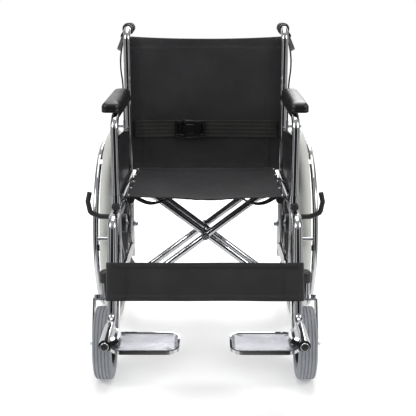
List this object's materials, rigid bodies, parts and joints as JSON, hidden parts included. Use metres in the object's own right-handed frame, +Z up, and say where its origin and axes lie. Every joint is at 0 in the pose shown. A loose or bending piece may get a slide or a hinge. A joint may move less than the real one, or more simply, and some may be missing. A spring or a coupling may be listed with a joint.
{
  "type": "manual wheelchair",
  "caption": "Folding manual wheelchair: bent-tube side frames on a cross brace, sling seat and back, moulded spoked rear wheels with hand rims, swivel casters, footplates and hand brakes.",
  "frame": {"origin": "on the floor, at the bottom centre of the chair's box", "axes": "the chair faces -Y, +Z is up and the sitter's left is +X; Y runs along the chair's length"},
  "size_m": [0.6635, 1.037, 0.9365],
  "materials": {
    "chrome": "polished chrome plate",
    "black_plastic": "satin moulded plastic",
    "grip_rubber": "matt moulded rubber",
    "pad_vinyl": "satin grained vinyl skin",
    "sling_cloth": "coated nylon cloth",
    "webbing": "woven webbing",
    "rear_tyre_rubber": "light grey solid tyre",
    "caster_tyre_rubber": "grey ribbed solid tyre",
    "footplate_alloy": "cast and polished",
    "zinc_steel": "plated steel"
  },
  "bodies": {
    "right_frame": {"right_back_post": "chrome", "right_upper_rail": "chrome", "right_lower_frame": "chrome", "right_arm_tube": "chrome", "right_armrest_pad": "pad_vinyl", "right_side_panel": "black_plastic", "right_push_grip": "grip_rubber", "right_rear_axle": "zinc_steel", "right_hanger_tube": "chrome", "right_caster_housing": "chrome", "right_caster_cap": "black_plastic", "right_parking_base": "zinc_steel", "right_attendant_mount": "black_plastic", "right_brake_cable": "grip_rubber", "back_sling": "sling_cloth", "calf_strap": "sling_cloth", "safety_belt": "webbing", "belt_buckle": "black_plastic"},
    "cross_arm_a": {"cross_arm_a": "chrome", "centre_pivot_bolt": "zinc_steel", "seat_sling": "sling_cloth"},
    "cross_arm_b": {"cross_arm_b": "chrome"},
    "left_frame": {"left_back_post": "chrome", "left_upper_rail": "chrome", "left_lower_frame": "chrome", "left_arm_tube": "chrome", "left_armrest_pad": "pad_vinyl", "left_side_panel": "black_plastic", "left_push_grip": "grip_rubber", "left_rear_axle": "zinc_steel", "left_hanger_tube": "chrome", "left_caster_housing": "chrome", "left_caster_cap": "black_plastic", "left_parking_base": "zinc_steel", "left_attendant_mount": "black_plastic", "left_brake_cable": "grip_rubber"},
    "right_wheel": {"right_rear_tyre": "rear_tyre_rubber", "right_rear_wheel": "black_plastic", "right_hand_rim": "chrome"},
    "right_swivel": {"right_caster_fork": "chrome"},
    "right_caster": {"right_caster_hub": "black_plastic", "right_caster_tyre": "caster_tyre_rubber"},
    "right_leg": {"right_footrest_leg": "chrome"},
    "right_plate": {"right_footplate": "footplate_alloy"},
    "right_parking": {"right_parking_lever": "grip_rubber"},
    "right_shoe": {"right_brake_shoe": "zinc_steel"},
    "right_squeeze": {"right_attendant_lever": "black_plastic"},
    "right_rocker": {"right_rear_brake_arm": "zinc_steel"},
    "left_wheel": {"left_rear_tyre": "rear_tyre_rubber", "left_rear_wheel": "black_plastic", "left_hand_rim": "chrome"},
    "left_swivel": {"left_caster_fork": "chrome"},
    "left_caster": {"left_caster_hub": "black_plastic", "left_caster_tyre": "caster_tyre_rubber"},
    "left_leg": {"left_footrest_leg": "chrome"},
    "left_plate": {"left_footplate": "footplate_alloy"},
    "left_parking": {"left_parking_lever": "grip_rubber"},
    "left_shoe": {"left_brake_shoe": "zinc_steel"},
    "left_squeeze": {"left_attendant_lever": "black_plastic"},
    "left_rocker": {"left_rear_brake_arm": "zinc_steel"}
  },
  "joints": [
    {"name": "fold", "type": "hinge", "parent": "right_frame", "child": "cross_arm_a", "pos_m": [-0.212, 0.0025, 0.182], "axis": [0, -1, 0], "range_deg": [0, 45], "deforming": ["seat_sling", "back_sling", "calf_strap", "safety_belt", "belt_buckle"]},
    {"name": "fold_centre", "type": "hinge", "parent": "cross_arm_a", "child": "cross_arm_b", "pos_m": [0, 0.0025, 0.345], "axis": [0, -1, 0], "range_deg": [-90, 0]},
    {"name": "fold_left", "type": "hinge", "parent": "cross_arm_b", "child": "left_frame", "pos_m": [0.212, 0.0025, 0.182], "axis": [0, -1, 0], "range_deg": [0, 45]},
    {"name": "right_wheel_spin", "type": "hinge", "parent": "right_frame", "child": "right_wheel", "pos_m": [-0.29, 0.2135, 0.305], "axis": [1, 0, 0], "continuous": true},
    {"name": "right_swivel_turn", "type": "hinge", "parent": "right_frame", "child": "right_swivel", "pos_m": [-0.275, -0.2115, 0.236], "axis": [0, 0, 1], "continuous": true},
    {"name": "right_caster_spin", "type": "hinge", "parent": "right_swivel", "child": "right_caster", "pos_m": [-0.275, -0.2665, 0.1], "axis": [1, 0, 0], "continuous": true},
    {"name": "right_leg_slide", "type": "slide", "parent": "right_frame", "child": "right_leg", "axis": [0, -0.3396, -0.9406], "range_m": [0, 0.09]},
    {"name": "right_plate_flip", "type": "hinge", "parent": "right_leg", "child": "right_plate", "pos_m": [-0.246, -0.4515, 0.197], "axis": [0, -1, 0], "range_deg": [0, 90]},
    {"name": "right_parking_lever", "type": "hinge", "parent": "right_frame", "child": "right_parking", "pos_m": [-0.26, -0.1605, 0.428], "axis": [1, 0, 0], "range_deg": [0, 50]},
    {"name": "right_shoe_swing", "type": "hinge", "parent": "right_frame", "child": "right_shoe", "pos_m": [-0.26, -0.1265, 0.418], "axis": [1, 0, 0], "range_deg": [0, 8]},
    {"name": "right_squeeze", "type": "hinge", "parent": "right_frame", "child": "right_squeeze", "pos_m": [-0.25342, 0.2595, 0.89689], "axis": [0.8794, 0, -0.476], "range_deg": [0, 22], "stiffness_Nm_per_rad": 0.6, "springref_deg": -17.19},
    {"name": "right_rocker", "type": "hinge", "parent": "right_frame", "child": "right_rocker", "pos_m": [-0.256, 0.2495, 0.616], "axis": [-1, 0, 0], "range_deg": [0, 2.5]},
    {"name": "left_wheel_spin", "type": "hinge", "parent": "left_frame", "child": "left_wheel", "pos_m": [0.29, 0.2135, 0.305], "axis": [1, 0, 0], "continuous": true},
    {"name": "left_swivel_turn", "type": "hinge", "parent": "left_frame", "child": "left_swivel", "pos_m": [0.275, -0.2115, 0.236], "axis": [0, 0, 1], "continuous": true},
    {"name": "left_caster_spin", "type": "hinge", "parent": "left_swivel", "child": "left_caster", "pos_m": [0.275, -0.2665, 0.1], "axis": [1, 0, 0], "continuous": true},
    {"name": "left_leg_slide", "type": "slide", "parent": "left_frame", "child": "left_leg", "axis": [0, -0.3396, -0.9406], "range_m": [0, 0.09]},
    {"name": "left_plate_flip", "type": "hinge", "parent": "left_leg", "child": "left_plate", "pos_m": [0.246, -0.4515, 0.197], "axis": [0, 1, 0], "range_deg": [0, 90]},
    {"name": "left_parking_lever", "type": "hinge", "parent": "left_frame", "child": "left_parking", "pos_m": [0.26, -0.1605, 0.428], "axis": [1, 0, 0], "range_deg": [0, 50]},
    {"name": "left_shoe_swing", "type": "hinge", "parent": "left_frame", "child": "left_shoe", "pos_m": [0.26, -0.1265, 0.418], "axis": [1, 0, 0], "range_deg": [0, 8]},
    {"name": "left_squeeze", "type": "hinge", "parent": "left_frame", "child": "left_squeeze", "pos_m": [0.25342, 0.2595, 0.89689], "axis": [0.8794, 0, 0.476], "range_deg": [0, 22], "stiffness_Nm_per_rad": 0.6, "springref_deg": -17.19},
    {"name": "left_rocker", "type": "hinge", "parent": "left_frame", "child": "left_rocker", "pos_m": [0.256, 0.2495, 0.616], "axis": [-1, 0, 0], "range_deg": [0, 2.5]}
  ],
  "couplings": [
    {"joint": "fold_centre", "follows": "fold", "ratio": -2},
    {"joint": "fold_left", "follows": "fold", "ratio": 1},
    {"joint": "right_plate_flip", "follows": "fold", "ratio": 2},
    {"joint": "right_shoe_swing", "follows": "right_parking_lever", "ratio": 0.15},
    {"joint": "right_rocker", "follows": "right_squeeze", "ratio": 0.11},
    {"joint": "left_plate_flip", "follows": "fold", "ratio": 2},
    {"joint": "left_shoe_swing", "follows": "left_parking_lever", "ratio": 0.15},
    {"joint": "left_rocker", "follows": "left_squeeze", "ratio": 0.11}
  ]
}
